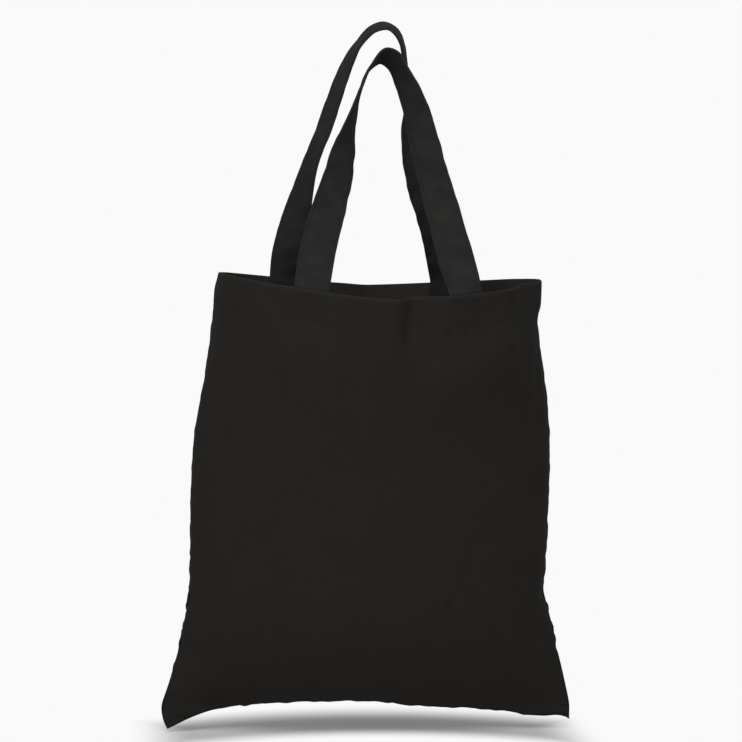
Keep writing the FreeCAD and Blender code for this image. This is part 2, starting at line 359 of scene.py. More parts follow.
# Soft folds pressed or pulled into the panels, as lines on the cloth: start, end, height and how
# far the left and the right of the line take part. A height below zero is a valley.
folds = {
    front: [
        ((0.020, 0.424), (0.021, 0.390), -0.0095, 0.010, 0.028),
        ((0.016, 0.386), (0.030, 0.326), -0.0050, 0.009, 0.020),
        ((0.108, 0.362), (0.040, 0.338), 0.0088, 0.020, 0.040),
        ((-0.090, 0.352), (-0.020, 0.344), 0.0042, 0.040, 0.030),
        ((0.056, 0.388), (0.072, 0.385), -0.0012, 0.004, 0.012),
        ((0.140, 0.418), (0.150, 0.386), -0.0090, 0.018, 0.020),
        ((-0.158, 0.416), (-0.150, 0.388), -0.0022, 0.010, 0.010),
        ((0.144, 0.330), (0.152, 0.150), -0.0012, 0.022, 0.022),
        ((-0.126, 0.000), (-0.118, 0.016), -0.0022, 0.010, 0.004),
        ((0.060, 0.300), (0.110, 0.200), -0.0020, 0.040, 0.040),
        ((-0.090, 0.260), (-0.030, 0.190), 0.0018, 0.045, 0.045),
        ((-0.178, 0.122), (-0.150, 0.126), -0.0026, 0.007, 0.010),
        ((-0.178, 0.072), (-0.152, 0.066), -0.0026, 0.008, 0.008),
        ((-0.142, 0.010), (-0.136, 0.030), -0.0022, 0.010, 0.007),
        ((0.184, 0.124), (0.160, 0.130), -0.0026, 0.008, 0.008),
        ((0.184, 0.062), (0.158, 0.056), -0.0022, 0.008, 0.010),
    ],
    back: [
        ((-0.020, 0.420), (-0.012, 0.340), -0.0034, 0.010, 0.014),
        ((-0.090, 0.380), (-0.030, 0.310), 0.0036, 0.024, 0.030),
        ((0.040, 0.370), (0.090, 0.300), 0.0030, 0.030, 0.030),
        ((0.140, 0.416), (0.148, 0.380), -0.0036, 0.014, 0.014),
        ((-0.178, 0.100), (-0.150, 0.106), -0.0024, 0.008, 0.008),
        ((0.180, 0.080), (0.154, 0.074), -0.0024, 0.008, 0.008),
    ],
}

puckers = {
    "sidePitch": 0.031,  # between the gathers along the side seams
    "sideHeight": 0.0017,
    "sideReach": 0.012,
    "bottomPitch": 0.038,
    "bottomHeight": 0.0014,
    "seamRidge": 0.0007,  # where the seam allowances inside show through
    "hemPitch": 0.016,
    "hemHeight": 0.00028,
    "hemReach": 0.007,
    "hemGroove": 0.00028,
    "waveHeight": 0.0005,  # long faint waves all over the cloth
    "foldFade": 0.030,  # how far a fold runs on past its two ends
    "boxHeight": 0.00085,  # small hard puckers under the box stitching
    "boxSink": 0.0003,
    "bandWave": 0.0004,  # slow waves of the hem between its stitches and the lip
    "hemLine": 0.0025,  # the hem's stitches above its lower edge
    "hemRise": {front: 0.0038, back: 0.0015},
}


def foldHeight(fold, u, v):
    start, end, height, left, right = fold
    along = np.array(end) - start
    length = np.hypot(*along)
    along /= length
    t = (u - start[0]) * along[0] + (v - start[1]) * along[1]
    d = (u - start[0]) * along[1] - (v - start[1]) * along[0]
    width = np.where((d > 0) == (along[1] < 0), left, right)
    past = np.maximum(np.maximum(-t, t - length), 0)
    fade = 1 - smoothStep(past / puckers["foldFade"])
    taper = 1 - 0.5 * smoothStep(t / length)
    return height * bump(d, width) * fade * taper


def wavy(x, seed):
    # An uneven wave from -1 to 1, never quite repeating.
    value = np.sin(x + seed) + 0.6 * np.sin(1.73 * x + 2.1 * seed)
    return (value + 0.4 * np.sin(2.91 * x + 3.7 * seed)) / 2


# Where the handles' box stitches lie across each panel, on the cloth.
boxMiddles = {face: [] for face in (front, back)}


def hemDrop(face, u):
    # The hem is turned in a little deeper towards one end.
    share = smoothStep((u - 0.04) / 0.12) if face == front else smoothStep((-u - 0.02) / 0.14)
    return -puckers["hemRise"][face] * share


def clothRelief(face, u, v):
    u, v = np.broadcast_arrays(np.asarray(u, float), np.asarray(v, float))
    height = np.zeros(u.shape)
    for fold in folds[face]:
        height += foldHeight(fold, u, v)
    # Nothing bends where a handle is sewn on.
    for middle in boxMiddles[face]:
        sewn = smoothStep((0.026 - np.abs(u - middle)) / 0.009) * smoothStep((v - hemStart + 0.006) / 0.008)
        height *= 1 - sewn
    turn = 2 * math.pi
    seed = 1.3 if face == front else 4.1
    hemPart = 1 - smoothStep((v - hemStart + 0.006) / 0.010)
    for side in (-1, 1):
        d = panelWidth / 2 - side * u
        low = 0.5 + 0.8 * (1 - smoothStep((v - 0.10) / 0.14))
        height += (puckers["sideHeight"] * low * hemPart * np.exp(-d / puckers["sideReach"])
                   * smoothStep(d / 0.004) * wavy(turn * v / puckers["sidePitch"] + 40 * d, seed + side))
        ridge = 0.6 + 0.4 * wavy(turn * v / 0.085, seed + 3 * side)
        ridge = ridge * (1 - 0.7 * smoothStep((v - 0.20) / 0.10))
        height += puckers["seamRidge"] * ridge * hemPart * bump(d - bag["seamAllowance"], 0.0022)
    height += (puckers["bottomHeight"] * np.exp(-v / 0.016) * smoothStep(v / 0.004)
               * wavy(turn * u / puckers["bottomPitch"], seed + 0.5))
    for middle in boxMiddles[face]:
        # The box stitching draws the hem together.
        inBox = smoothStep((0.0145 - np.abs(u - middle)) / 0.002)
        inBox = inBox * smoothStep((v - hemStart - 0.002) / 0.003)
        height += inBox * (puckers["boxHeight"] * wavy(turn * (u + 0.5 * v) / 0.0080, seed + 7)
                           * wavy(turn * (v - 0.4 * u) / 0.0075, seed + 9) - puckers["boxSink"])
    line = hemStart + puckers["hemLine"] + hemDrop(face, u)
    hemWave = wavy(turn * u / puckers["hemPitch"], seed + 2.2)
    away = np.abs(v - line)
    height += puckers["hemHeight"] * np.exp(-away / puckers["hemReach"]) * hemWave
    height += puckers["bandWave"] * smoothStep((v - line) / 0.004) * wavy(turn * u / 0.047, seed + 5)
    height -= puckers["hemGroove"] * bump(v - line, 0.0011)
    height += puckers["waveHeight"] * wavy(turn * (u + 0.4 * v) / 0.110, seed) * wavy(
        turn * (v - 0.3 * u) / 0.150, seed + 1)
    return height


def clothPoint(face, u, v, inset=0.0):
    place, normal = clothSurface(face, u, v)[:2]
    lift = clothRelief(face, u, v) - np.asarray(inset, float)
    return place + normal * lift[..., None]


def setInputs(tree, node, inputs):
    # Inputs by name or number, each a value or another node's output.
    for key, value in inputs.items():
        if isinstance(value, bpy.types.NodeSocket):
            tree.links.new(value, node.inputs[key])
        else:
            node.inputs[key].default_value = value


def addNode(tree, kind, inputs, **settings):
    node = tree.nodes.new("ShaderNode" + kind)
    for key, value in settings.items():
        setattr(node, key, value)
    setInputs(tree, node, inputs)
    return node


def mathNode(tree, operation, *parts):
    return addNode(tree, "Math", dict(enumerate(parts)), operation=operation).outputs[0]


def newMaterial(name, colour, roughness, sheen):
    material = bpy.data.materials.new(name)
    material.use_nodes = True
    tree = material.node_tree
    shader = tree.nodes["Principled BSDF"]
    setInputs(tree, shader, {
        "Base Color": (*colour, 1), "Roughness": roughness, "Specular IOR Level": 0.04,
        "Sheen Weight": sheen, "Sheen Roughness": 0.6, "Sheen Tint": (1, 1, 1, 1)})
    return material, tree, shader


def noiseNode(tree, vector, scale, detail, stretch=(1, 1, 1)):
    place = addNode(tree, "Mapping", {"Vector": vector, "Scale": stretch}).outputs[0]
    inputs = {"Vector": place, "Scale": scale, "Detail": detail}
    return addNode(tree, "TexNoise", inputs).outputs["Fac"]


def reliefNode(tree, shader, height, strength, distance):
    inputs = {"Height": height, "Strength": strength, "Distance": distance}
    setInputs(tree, shader, {"Normal": addNode(tree, "Bump", inputs).outputs[0]})


def shadeColour(tree, shader, colour, shade):
    tint = addNode(tree, "VectorMath", {0: colour, "Scale": shade}, operation="SCALE")
    setInputs(tree, shader, {"Base Color": tint.outputs[0]})


canvasLook = {
    "colour": (0.0146, 0.0136, 0.0126),
    "strapColour": (0.0183, 0.0176, 0.0170),
    "threadColour": (0.0175, 0.0165, 0.0156),
    "overlockColour": (0.020, 0.019, 0.018),
    "threadPitch": 0.00062,  # between two threads of the weave
    "strapThreadPitch": 0.000558,
    "patchSize": (26, 26, 1),  # slow light and dark patches, as repeats to the metre
    "patchDepth": 0.16,
    # On the straps the slow patches are strong and stretched along them: painted shade of the strap's
    # waves, laid as random patches.
    "strapShadePatchSize": (30, 52, 1),
    "strapShadePatchDepth": 0.9,
    "weaveDepth": 0.00011,
    "weaveStrength": 0.55,
    "slub": (90, 1500, 1),  # changes of thickness along a thread, and from thread to thread
    "grooveShade": 0.80,  # painted shade between the threads, against their tops
    "roughness": 0.88,
    "sheen": 0.002,
    "outsideStart": 0.9,  # where the outer face starts in the weave; the inner face runs below 0
    "paintedInsideLight": 0.75,  # painted light: the inner face is made lighter than the outer one, above this height, standing in for light inside the mouth
    "paintedInsideFrom": 0.10,
    "paintedLipHighlight": 0.35,  # and a painted highlight lightens the fold along the lip and the top of the outer face
    "paintedLipHighlightDepth": 0.0018,
}


def bandNode(tree, value, low, high):
    # 1 where the value lies between the two ends, else 0.
    return mathNode(tree, "MULTIPLY", mathNode(tree, "GREATER_THAN", value, low),
                    mathNode(tree, "LESS_THAN", value, high))


def canvasMaterial(name, colour, pitch, patchSize, patchDepth, paintedLightBands=()):
    # Plain woven cotton: over and under threads on the cloth's own coordinates in metres.
    material, tree, shader = newMaterial(name, colour, canvasLook["roughness"], canvasLook["sheen"])
    weave = addNode(tree, "UVMap", {}, uv_map="cloth").outputs[0]

    def calc(*parts):
        return mathNode(tree, *parts)

    alongSlub, acrossSlub, still = canvasLook["slub"]
    slubAcross = noiseNode(tree, weave, 1.0, 2, (alongSlub, acrossSlub, still))
    slubUp = noiseNode(tree, weave, 1.0, 2, (acrossSlub, alongSlub, still))
    split = addNode(tree, "SeparateXYZ", {0: weave})
    turn = math.pi / pitch
    warp = calc("SINE", calc("MULTIPLY_ADD", slubUp, 0.5, calc("MULTIPLY", split.outputs[0], turn)))
    weft = calc("SINE", calc("MULTIPLY_ADD", slubAcross, 0.5, calc("MULTIPLY", split.outputs[1], turn)))
    over = calc("GREATER_THAN", calc("MULTIPLY", warp, weft), 0.0)
    warpTop = calc("ABSOLUTE", warp)
    weftTop = calc("ABSOLUTE", weft)
    upThread = calc("MULTIPLY", warpTop, calc("POWER", weftTop, 0.35))
    acrossThread = calc("MULTIPLY", weftTop, calc("POWER", warpTop, 0.35))
    tops = addNode(tree, "Mix", {0: over, 2: acrossThread, 3: upThread}, data_type="FLOAT").outputs[0]
    thickness = calc("ADD", slubAcross, slubUp)
    height = calc("MULTIPLY_ADD", thickness, 0.45, tops)
    reliefNode(tree, shader, height, canvasLook["weaveStrength"], canvasLook["weaveDepth"])
    # Colour: painted shade between the threads, thread by thread differences and slow patches.
    # Slow patches of random tone; on the straps they are painted shade of the strap's waves.
    blotch = noiseNode(tree, weave, 1.0, 3, patchSize)
    shade = calc("MULTIPLY_ADD", tops, 0.22, canvasLook["grooveShade"])
    shade = calc("MULTIPLY", shade, calc("MULTIPLY_ADD", thickness, 0.30, 0.72))
    shade = calc("MULTIPLY", shade, calc("MULTIPLY_ADD", blotch, patchDepth, 1 - patchDepth / 2))
    # Painted light: the colour is made lighter in the given bands of the weave's height, on the inner face
    # inside the mouth and as a painted highlight on the lip's fold.
    for low, high, lift in paintedLightBands:
        band = bandNode(tree, split.outputs[1], low, high)
        shade = calc("MULTIPLY", shade, calc("MULTIPLY_ADD", band, lift, 1.0))
    shadeColour(tree, shader, colour, shade)
    rough = calc("MULTIPLY_ADD", tops, -0.08, canvasLook["roughness"] + 0.04)
    setInputs(tree, shader, {"Roughness": rough})
    return material


def threadMaterial(name, colour, roughness):
    # Spun thread: a fine grain, a little glossier than the cloth.
    material, tree, shader = newMaterial(name, colour, roughness, 0.01)
    place = addNode(tree, "TexCoord", {}).outputs["Object"]
    grain = noiseNode(tree, place, 2600.0, 2)
    reliefNode(tree, shader, grain, 0.4, 0.00008)
    shadeColour(tree, shader, colour, mathNode(tree, "MULTIPLY_ADD", grain, 0.5, 0.75))
    return material


# Painted light: the panels' inner face is lightened, and a painted highlight runs along the lip's fold and
# the top of the outer face.
lipHighlightStart = canvasLook["outsideStart"] + panelHeight - canvasLook["paintedLipHighlightDepth"]
paintedLightBands = [(-panelHeight, -canvasLook["paintedInsideFrom"], canvasLook["paintedInsideLight"]),
         (-1, -panelHeight, canvasLook["paintedLipHighlight"]), (lipHighlightStart, 2, canvasLook["paintedLipHighlight"])]
canvas = canvasMaterial("black canvas", canvasLook["colour"], canvasLook["threadPitch"],
                        canvasLook["patchSize"], canvasLook["patchDepth"], paintedLightBands)
strapCanvas = canvasMaterial(
    "black strap canvas", canvasLook["strapColour"], canvasLook["strapThreadPitch"],
    canvasLook["strapShadePatchSize"], canvasLook["strapShadePatchDepth"])
sewingThread = threadMaterial("black sewing thread", canvasLook["threadColour"], 0.75)
overlockThread = threadMaterial("black overlock thread", canvasLook["overlockColour"], 0.75)


def newPiece(name, places, quads, uvs, material):
    mesh = bpy.data.meshes.new(name)
    mesh.from_pydata(np.asarray(places, float).tolist(), [], [list(map(int, q)) for q in quads])
    if uvs is not None:
        layer = mesh.uv_layers.new(name="cloth")
        loops = np.zeros(len(mesh.loops), int)
        mesh.loops.foreach_get("vertex_index", loops)
        layer.data.foreach_set("uv", np.asarray(uvs, float)[loops].ravel())
    mesh.polygons.foreach_set("use_smooth", [True] * len(mesh.polygons))
    mesh.materials.append(material)
    piece = bpy.data.objects.new(name, mesh)
    scene.collection.objects.link(piece)
    return piece


def gridQuads(rowCount, columnCount, closed):
    # Quads between rows of points; closed joins the last row to the first.
    quads = []
    for j in range(rowCount if closed else rowCount - 1):
        k = (j + 1) % rowCount
        for i in range(columnCount - 1):
            quads.append((j * columnCount + i, j * columnCount + i + 1,
                          k * columnCount + i + 1, k * columnCount + i))
    return quads


def ribbonPiece(name, rows, uvs, flipped, material):
    # A closed band from rows of places round its section, with both its ends closed.
    count = len(rows[0])
    quads = gridQuads(len(rows), count, True)
    for column, flip in ((0, False), (count - 1, True)):
        ring = [j * count + column for j in range(len(rows))]
        quads.append(ring if flip else ring[::-1])
    if flipped:
        quads = [q[::-1] for q in quads]
    return newPiece(name, np.concatenate(rows), quads, np.concatenate(uvs), material)


strap = {
    "width": 0.0315,
    "thickness": 0.0022,
    "spread": {front: 0.066, back: 0.077},
    "roots": {front: (-0.0705, 0.066), back: (-0.0785, 0.077)},
    "sewnStart": hemStart + 0.002,
    "hemGap": 0.0003,  # between the hem and the strap behind it
    "boxInset": 0.003,
    "stitchInset": 0.003,
    "step": 0.0022,  # between two stations along it
    "edgeRound": 0.0009,
    "crown": 0.10,  # how much thicker the middle is than the edges
    "grooveDepth": 0.0003,  # along the edge stitching
    "wave": 0.0012,
    "smallWave": 0.0007,
    "cupping": 0.0010,
    "creaseWidth": 0.0032,
    "sewnFade": 0.030,
    "bend": (0.001, 0.029),  # heights above the lip between which it bends when it swings
}


def acrossAt(face, x, v):
    # The place across the cloth that lies at x.
    u = np.linspace(-panelWidth / 2, panelWidth / 2, 400)
    place = clothSurface(face, u, np.full(400, v))[0]
    return float(np.interp(x, place[:, 0], u))


for face in (front, back):
    boxMiddles[face] = [acrossAt(face, x, panelHeight) for x in strap["roots"][face]]


def panelPath():
    # Round the cloth's section: up the inside, over the turned-in hem and down the outside, as
    # (height on the cloth, distance in from the outer face, place in the weave).
    thin = bag["clothThickness"]
    thick = bag["hemThickness"]
    top = panelHeight
    path = [(v, thin, -v) for v in np.linspace(0, 0.012, 7)]
    path += [(v, thin, -v) for v in np.arange(0.015, hemStart - 0.002, 0.003)]
    path += [(hemStart - 0.0006, thin, -hemStart), (hemStart - 0.0009, thin + 0.0005, -hemStart - 0.0004),
             (hemStart - 0.0007, thick - 0.0005, -hemStart - 0.001),
             (hemStart + 0.0002, thick, -hemStart - 0.002)]
    path += [(v, thick, -v) for v in np.linspace(hemStart + 0.003, top - 0.0012, 14)]
    for k in range(1, 8):
        angle = math.pi * k / 8
        path.append((top - 0.0004 + 0.0013 * math.sin(angle), thick / 2 * (1 + math.cos(angle)),
                     -top - thick * k / 8))
    outside = [np.linspace(top - 0.001, hemStart + 0.006, 14),
               np.arange(hemStart + 0.0052, hemStart - 0.0012, -0.0006),
               np.arange(hemStart - 0.003, 0.0135, -0.003), np.linspace(0.012, 0, 9)]
    path += [(v, 0.0, v + canvasLook["outsideStart"]) for v in np.concatenate(outside)]
    return np.array(path)


panelMesh = {
    "nearSeam": (0, 0.0003, 0.0007, 0.0012, 0.0019, 0.003, 0.005, 0.0075),
    "middleStart": 0.0105,
    "middleColumns": 191,
    "grooveWidth": 0.0016,  # both panels turn in to their seams, which leaves a narrow groove
    "grooveDepth": 0.0011,
    "hemSpread": 0.020,  # how far the cloth follows where the hem is turned deeper
    "bite": 0.00005,  # the panels overlap a hair along the seams, so no light shows through
}


def grooveAt(distance):
    share = np.minimum(distance, panelMesh["grooveWidth"]) / panelMesh["grooveWidth"]
    return panelMesh["grooveDepth"] * (1 - np.sqrt(1 - (1 - share) ** 2))


def makePanel(face, name):
    half = panelWidth / 2
    near = np.array(panelMesh["nearSeam"])
    inner = half - panelMesh["middleStart"]
    middles = np.linspace(-inner, inner, panelMesh["middleColumns"])
    u = np.concatenate([-half + near, middles, (half - near)[::-1]])
    path = panelPath()
    wide = np.repeat(u[None, :], len(path), axis=0)
    tall = np.repeat(path[:, 0][:, None], len(u), axis=1)
    inset = np.repeat(path[:, 1][:, None], len(u), axis=1)
    inset = inset + grooveAt(half - np.abs(wide)) + grooveAt(tall)
    tall = tall + hemDrop(face, wide) * bump(tall - hemStart, panelMesh["hemSpread"])
    places = clothPoint(face, wide, tall, inset)
    places[:, 0, 1] = -face * panelMesh["bite"]
    places[:, -1, 1] = -face * panelMesh["bite"]
    rows, columns = inset.shape
    uvs = np.stack(np.broadcast_arrays(u[None, :] + 0.5, path[:, 2][:, None]), -1).reshape(-1, 2)
    quads = gridQuads(rows, columns, True)
    # The ends at the side seams are closed across the cloth's thickness.
    for column, flip in ((0, False), (columns - 1, True)):
        low = 0
        high = rows - 1
        while high - low > 1:
            ends = [low, low + 1, high] if high - low == 2 else [low, low + 1, high - 1, high]
            poly = [k * columns + column for k in ends]
            quads.append(poly if flip else poly[::-1])
            low += 1
            high -= 1
    if face == front:
        quads = [q[::-1] for q in quads]
    piece = newPiece(name, places.reshape(-1, 3), quads, uvs, canvas)
    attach(piece, "bag")
    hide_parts(name.replace("_cloth", ""))
    return piece


frontCloth = makePanel(front, "front_panel_cloth")
backCloth = makePanel(back, "back_panel_cloth")
print("panels made")


# Single stitches, each a short thread that dives into the cloth at both ends.
thread = {
    "pitch": 0.0034,
    "length": 0.0027,
    "radius": 0.00023,
    "sides": 5,
    "stations": (0, 0.14, 0.5, 0.86, 1),
    "lifts": (-0.00022, 0.000138, 0.000207, 0.000138, -0.00022),
    "seamMargin": 0.003,
}


def tube(points, radius, sides, places, quads):
    # A closed tube through a few points, added to the lists.
    base = len(places)
    points = np.asarray(points, float)
    for k, point in enumerate(points):
        along = points[min(k + 1, len(points) - 1)] - points[max(k - 1, 0)]
        along /= max(np.linalg.norm(along), 1e-9)
        side = np.cross(along, (0.31, 0.17, 0.93))
        side /= max(np.linalg.norm(side), 1e-9)
        other = np.cross(along, side)
        for i in range(sides):
            a = 2 * math.pi * i / sides
            places.append(point + radius * (side * math.cos(a) + other * math.sin(a)))
    for k in range(len(points) - 1):
        for i in range(sides):
            n = (i + 1) % sides
            quads.append((base + k * sides + i, base + k * sides + n,
                          base + (k + 1) * sides + n, base + (k + 1) * sides + i))
    last = base + (len(points) - 1) * sides
    quads.append([base + i for i in range(sides)][::-1])
    quads.append([last + i for i in range(sides)])


def runAlong(points):
    return np.concatenate([[0], np.cumsum(np.linalg.norm(np.diff(points, axis=0), axis=1))])


def valuesAt(t, run, rows):
    return np.stack([np.interp(t, run, rows[:, c]) for c in range(rows.shape[1])], -1)


def addStitches(line, places, quads):
    # line: places and normals along a seam. A stitch lies on it every pitch.
    points, normals = line
    run = runAlong(points)
    count = max(int(run[-1] / thread["pitch"]), 1)
    pitch = run[-1] / count
    share = thread["length"] / thread["pitch"]
    lifts = np.array(thread["lifts"])[:, None]
    for k in range(count):
        start = pitch * (k + (1 - share) / 2)
        stations = start + pitch * share * np.array(thread["stations"])
        middle = valuesAt(stations, run, points)
        normal = valuesAt(stations, run, normals)
        tube(middle + normal * lifts, thread["radius"], thread["sides"], places, quads)


def seamLine(face, u0, v0, u1, v1, inset=0.0, count=60, inward=False):
    t = np.linspace(0, 1, count)
    u = u0 + (u1 - u0) * t
    v = v0 + (v1 - v0) * t
    v = v + hemDrop(face, u) * bump(v - hemStart, panelMesh["hemSpread"])
    normal = clothSurface(face, u, v)[1]
    return clothPoint(face, u, v, inset), normal * (-1 if inward else 1)


def stitchPiece(name, lines, nodes, body):
    places = []
    quads = []
    for line in lines:
        addStitches(line, places, quads)
    piece = newPiece(name, places, quads, None, sewingThread)
    if body:
        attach(piece, body)
    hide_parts(*nodes)
    return piece


for face, name in ((front, "front"), (back, "back")):
    line = hemStart + puckers["hemLine"]
    reach = panelWidth / 2 - thread["seamMargin"]
    lines = [seamLine(face, -reach, line, reach, line, count=260),
             seamLine(face, -reach, line, reach, line, bag["hemThickness"], 260, True)]
    stitchPiece(name + "_hem_thread", lines, [name + "_hem_stitching"], "bag")

for face, name in ((front, "front"), (back, "back")):
    for side, sideName in ((-1, "left"), (1, "right")):
        middle = boxMiddles[face][(side + 1) // 2]
        half = strap["width"] / 2 - strap["boxInset"]
        left = middle - half
        right = middle + half
        low = strap["sewnStart"] + strap["boxInset"]
        high = panelHeight - strap["boxInset"]
        lines = []
        behind = bag["hemThickness"] + strap["hemGap"] + strap["thickness"]
        for inset, inward in ((0.0, False), (behind, True)):
            for ends in ((left, low, right, low), (right, low, right, high), (right, high, left, high),
                         (left, high, left, low), (left, low, right, high), (left, high, right, low)):
                lines.append(seamLine(face, *ends, inset, 30, inward))
        boxName = f"{name}_{sideName}_box"
        stitchPiece(boxName + "_thread", lines, [boxName + "_stitching"], "bag")
print("hem and box stitches made")


# The seam allowances inside the bag. Overlock loops go round their raw edges every few
# millimetres, caught by a line of needle stitches on each side.
seam = {
    "stations": 180,
    "bottomMargin": 0.016,  # from a corner to the start of the bottom seam, then of a side seam
    "sideMargin": 0.014,
    "lean": 0.0022,  # slow bends of the free edge
    "leanPitch": 0.055,
    "halfThickness": 0.00085,
    "depths": (0.0018, 0.004, 0.0065),
    "loopPitch": 0.0028,
    "loopLength": 0.0022,
    "loopRadius": 0.00024,
    "needleLine": 0.0042,
    "loopTurn": 0.007,
}


def seamEdge(side, count):
    # The line of a seam and the direction into the bag, for the left, right or bottom seam.
    half = panelWidth / 2
    if side == 0:
        u = np.linspace(-half + seam["bottomMargin"], half - seam["bottomMargin"], count)
        v = np.zeros(count)
        inward = (0.0, 0.0, 1.0)
    else:
        u = np.full(count, side * half)
        v = np.linspace(seam["sideMargin"], hemStart - 0.001, count)
        inward = (-float(side), 0.0, 0.0)
    return clothSurface(front, u, v)[0], np.array(inward)


def makeSeam(side, name):
    count = seam["stations"]
    place, inward = seamEdge(side, count)
    run = runAlong(place)
    lean = seam["lean"] * wavy(2 * math.pi * run / seam["leanPitch"], side + 2.0)
    half = seam["halfThickness"]
    reach = bag["seamAllowance"]
    depths = list(seam["depths"]) + [reach - 0.0004]
    profile = [(d, -half) for d in depths] + [(reach, 0.0)] + [(d, half) for d in depths[::-1]]
    places = []
    uvs = []
    for depth, y in profile:
        row = place + inward * depth
        row[:, 1] = y + lean * (depth / reach) ** 2
        places.append(row)
        uvs.append(np.stack([run, np.full(count, depth + (0.05 if y > 0 else 0))], -1))
    piece = ribbonPiece(name + "_allowance", places, uvs, side <= 0, canvas)
    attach(piece, "bag")
    loopPlaces = []
    loopQuads = []
    root = seam["needleLine"]
    turn = seam["loopTurn"]
    for k in range(int(run[-1] / seam["loopPitch"])):
        start = seam["loopPitch"] * (k + 0.2)
        end = start + seam["loopLength"]
        loop = []
        for t, depth, y in ((start, root, -half - 0.0001), (start + 0.0005, turn, -half - 0.0003),
                            (start + 0.0009, reach + 0.0003, 0.0), (end - 0.0006, turn, half + 0.0003),
                            (end, root, half + 0.0001)):
            point = valuesAt(t, run, place) + inward * depth
            point[1] = y + np.interp(t, run, lean) * (depth / reach) ** 2
            loop.append(point)
        tube(loop, seam["loopRadius"], 4, loopPlaces, loopQuads)
    for y in (-half, half):
        row = place + inward * root
        row[:, 1] = y + lean * (root / reach) ** 2
        normals = np.tile((0.0, math.copysign(1, y), 0.0), (count, 1))
        addStitches((row, normals), loopPlaces, loopQuads)
    loops = newPiece(name + "_overlock", loopPlaces, loopQuads, None, overlockThread)
    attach(loops, "bag")
    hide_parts(name)
    return piece, loops


seamPieces = []
for side, name in ((-1, "left_side_seam"), (1, "right_side_seam"), (0, "bottom_seam")):
    seamPieces += makeSeam(side, name)
print("seams made")


# A handle's line between its two sewn ends, from left to right: across (1 is the legs' spread),
# inward (1 is the bag's middle plane), rise (1 is the top) and the strap's turn in degrees.
handleLines = {
    front: [
        (-0.965, 0.11, 0.16, -4), (-0.835, 0.24, 0.31, 12),
        (-0.70, 0.37, 0.45, 26), (-0.59, 0.48, 0.58, 45), (-0.48, 0.59, 0.71, 70),
        (-0.36, 0.71, 0.84, 82), (-0.235, 0.80, 0.93, 84), (-0.05, 0.85, 0.985, 70),
        (0.09, 0.84, 0.965, 66), (0.20, 0.77, 0.895, 67), (0.325, 0.67, 0.80, 58),
        (0.43, 0.56, 0.68, 46), (0.525, 0.44, 0.55, 41), (0.645, 0.32, 0.40, 34),
        (0.77, 0.19, 0.25, 24), (0.88, 0.09, 0.12, 8),
    ],
    back: [
        (-0.955, 0.10, 0.12, -12), (-0.885, 0.22, 0.25, -38),
        (-0.83, 0.33, 0.36, -62), (-0.745, 0.44, 0.48, -72), (-0.625, 0.56, 0.60, -72),
        (-0.52, 0.65, 0.72, -73), (-0.41, 0.74, 0.83, -78), (-0.28, 0.80, 0.915, -84),
        (-0.12, 0.82, 0.97, -79), (0.03, 0.83, 0.985, -75), (0.16, 0.82, 0.96, -72),
        (0.245, 0.78, 0.90, -74), (0.295, 0.72, 0.82, -78), (0.325, 0.63, 0.73, -78),
        (0.36, 0.52, 0.61, -62), (0.43, 0.41, 0.50, -48), (0.59, 0.29, 0.36, -34),
        (0.785, 0.16, 0.22, -16), (0.91, 0.07, 0.10, 4),
    ],
}
handleRise = {front: 0.209, back: 0.234}
# Creases across a strap: place along it (0 to 1), slant, and depth.
strapCreases = {
    front: [(0.115, 0.5, -0.0006), (0.30, -0.4, -0.0004), (0.66, 0.7, -0.0008), (0.70, -0.5, 0.0005),
            (0.80, 0.4, -0.0005), (0.885, 0.3, -0.0007)],
    back: [(0.13, 0.4, -0.0005), (0.24, -0.6, 0.0005), (0.47, 0.2, -0.0006), (0.55, -0.3, -0.0006),
           (0.78, 0.5, 0.0005), (0.90, -0.3, -0.0005)],
}


def unit(v):
    return v / np.maximum(np.linalg.norm(v, axis=-1, keepdims=True), 1e-12)


def handleFrames(face):
    # Along a strap: middle points, directions to the loop's inner side, and outward normals.
    spread = strap["spread"][face]
    inset = bag["hemThickness"] + strap["hemGap"] + strap["thickness"] / 2
    heights = np.array([strap["sewnStart"], hemStart + 0.008, hemStart + 0.014, hemStart + 0.020,
                        hemStart + 0.026, panelHeight + 0.0012])
    legs = {}
    for side in (-1, 1):
        middle = boxMiddles[face][(side + 1) // 2]
        place, normal, across = clothSurface(face, np.full(len(heights), middle), heights)
        lift = clothRelief(face, np.full(len(heights), middle), heights) * 0.5
        legs[side] = (place + normal * (lift - inset)[:, None], unit(across) * -side)
    points = list(legs[-1][0])
    widths = list(legs[-1][1])
    left = points[-1]
    right = legs[1][0][-1]
    line = handleLines[face]
    loose = [left]
    for across, inward, rise, turn in line:
        base = left + (right - left) * (across + 1) / 2
        height = base[2] + rise * handleRise[face]
        loose.append(np.array([across * spread, base[1] * (1 - inward), height]))
    loose.append(right)
    for k, station in enumerate(line, start=1):
        along = unit(loose[k + 1] - loose[k - 1])
        flat = unit(np.cross((0, 1, 0), along))
        depth = np.cross(along, flat)
        angle = math.radians(station[3])
        points.append(loose[k])
        widths.append(flat * math.cos(angle) + depth * math.sin(angle))
    points += list(legs[1][0][::-1])
    widths += list(legs[1][1][::-1])
    return np.array(points), np.array(widths)


